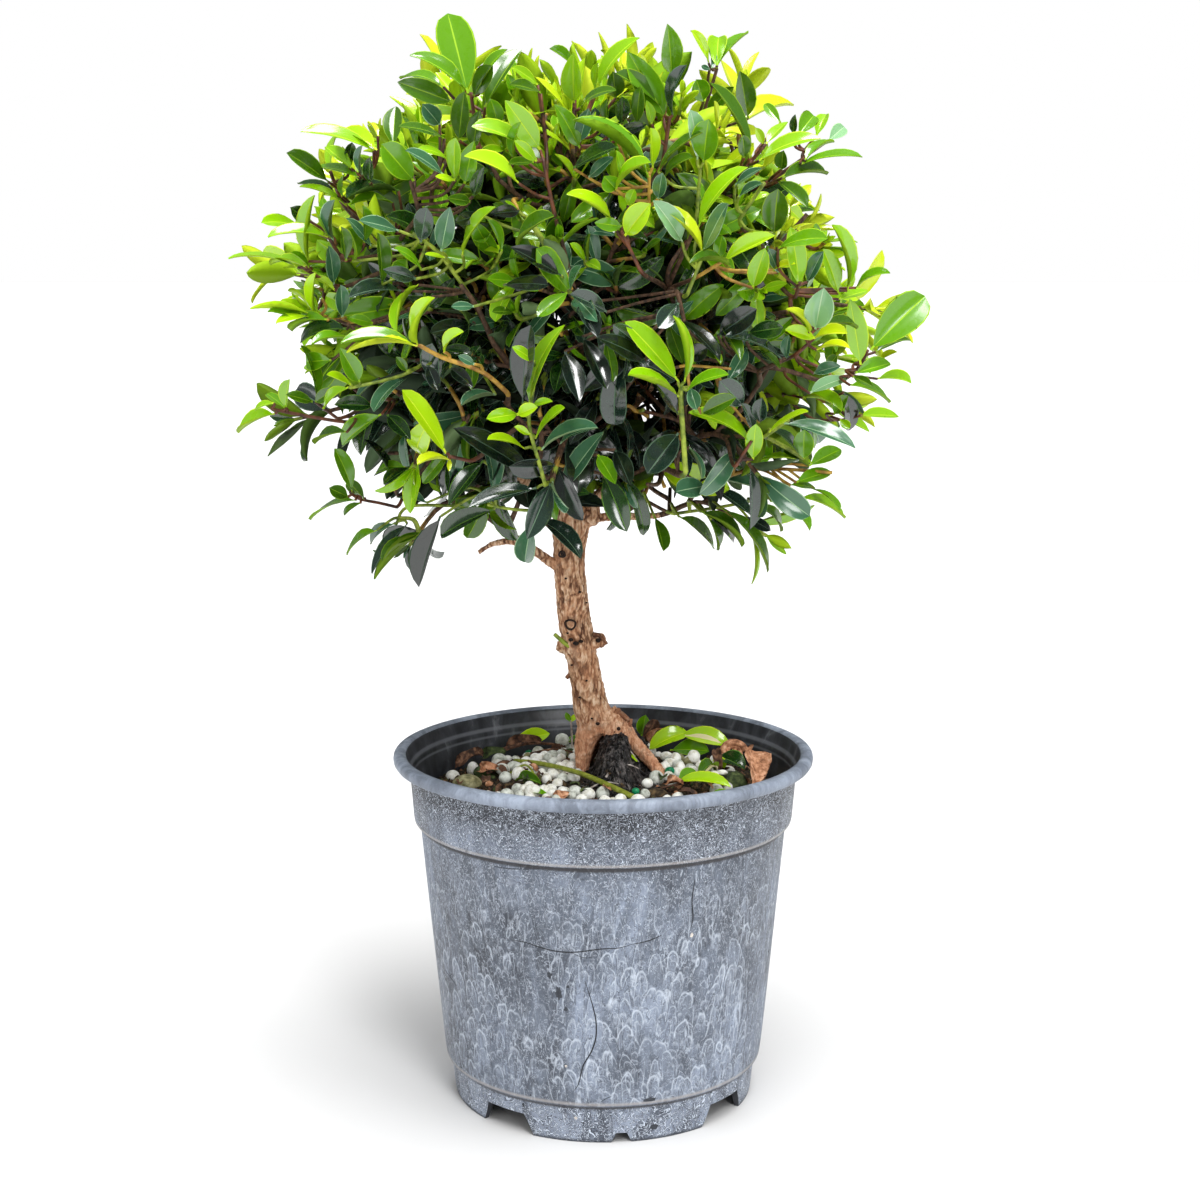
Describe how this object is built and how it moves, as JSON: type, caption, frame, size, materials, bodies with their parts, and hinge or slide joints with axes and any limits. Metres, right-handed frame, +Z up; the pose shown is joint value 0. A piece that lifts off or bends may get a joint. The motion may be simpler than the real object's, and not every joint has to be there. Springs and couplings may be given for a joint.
{
  "type": "potted brush cherry",
  "caption": "Small evergreen trained as a leafy ball on a bare leaning trunk, standing in a round tapered nursery pot with a rolled rim and feet.",
  "frame": {"origin": "middle of the whole plant's box, on the plane that the pot's feet stand on", "axes": "+Z up, -Y towards the front, where the low side bough is on the left (-X) and the open root arch shows"},
  "size_m": [0.264, 0.2342, 0.4176],
  "materials": {
    "pot": "weathered matte, chalky",
    "potting_mix": "matt, crumbly",
    "bark": "rough, fissured",
    "leaves": "glossy leaf"
  },
  "bodies": {
    "root": {"bough_back": "bark", "bough_back_left": "bark", "bough_back_right": "bark", "bough_bottom_left": "bark", "bough_bottom_right": "bark", "bough_front": "bark", "bough_front_left": "bark", "bough_front_right": "bark", "bough_left": "bark", "bough_low_back_left": "bark", "bough_low_back_right": "bark", "bough_low_front": "bark", "bough_low_front_left": "bark", "bough_low_front_right": "bark", "bough_lower_left": "bark", "bough_lower_right": "bark", "bough_right": "bark", "bough_top": "bark", "bough_upper_back": "bark", "bough_upper_front": "bark", "bough_upper_left": "bark", "bough_upper_right": "bark", "foliage_back": "leaves", "foliage_back_left": "leaves", "foliage_back_right": "leaves", "foliage_bottom_left": "leaves", "foliage_bottom_right": "leaves", "foliage_front": "leaves", "foliage_front_left": "leaves", "foliage_front_right": "leaves", "foliage_left": "leaves", "foliage_low_back_left": "leaves", "foliage_low_back_right": "leaves", "foliage_low_front": "leaves", "foliage_low_front_left": "leaves", "foliage_low_front_right": "leaves", "foliage_lower_left": "leaves", "foliage_lower_right": "leaves", "foliage_right": "leaves", "foliage_top": "leaves", "foliage_upper_back": "leaves", "foliage_upper_front": "leaves", "foliage_upper_left": "leaves", "foliage_upper_right": "leaves", "pot": "pot", "potting_mix": "potting_mix", "stub_left": "bark", "trunk": "bark"}
  },
  "joints": []
}
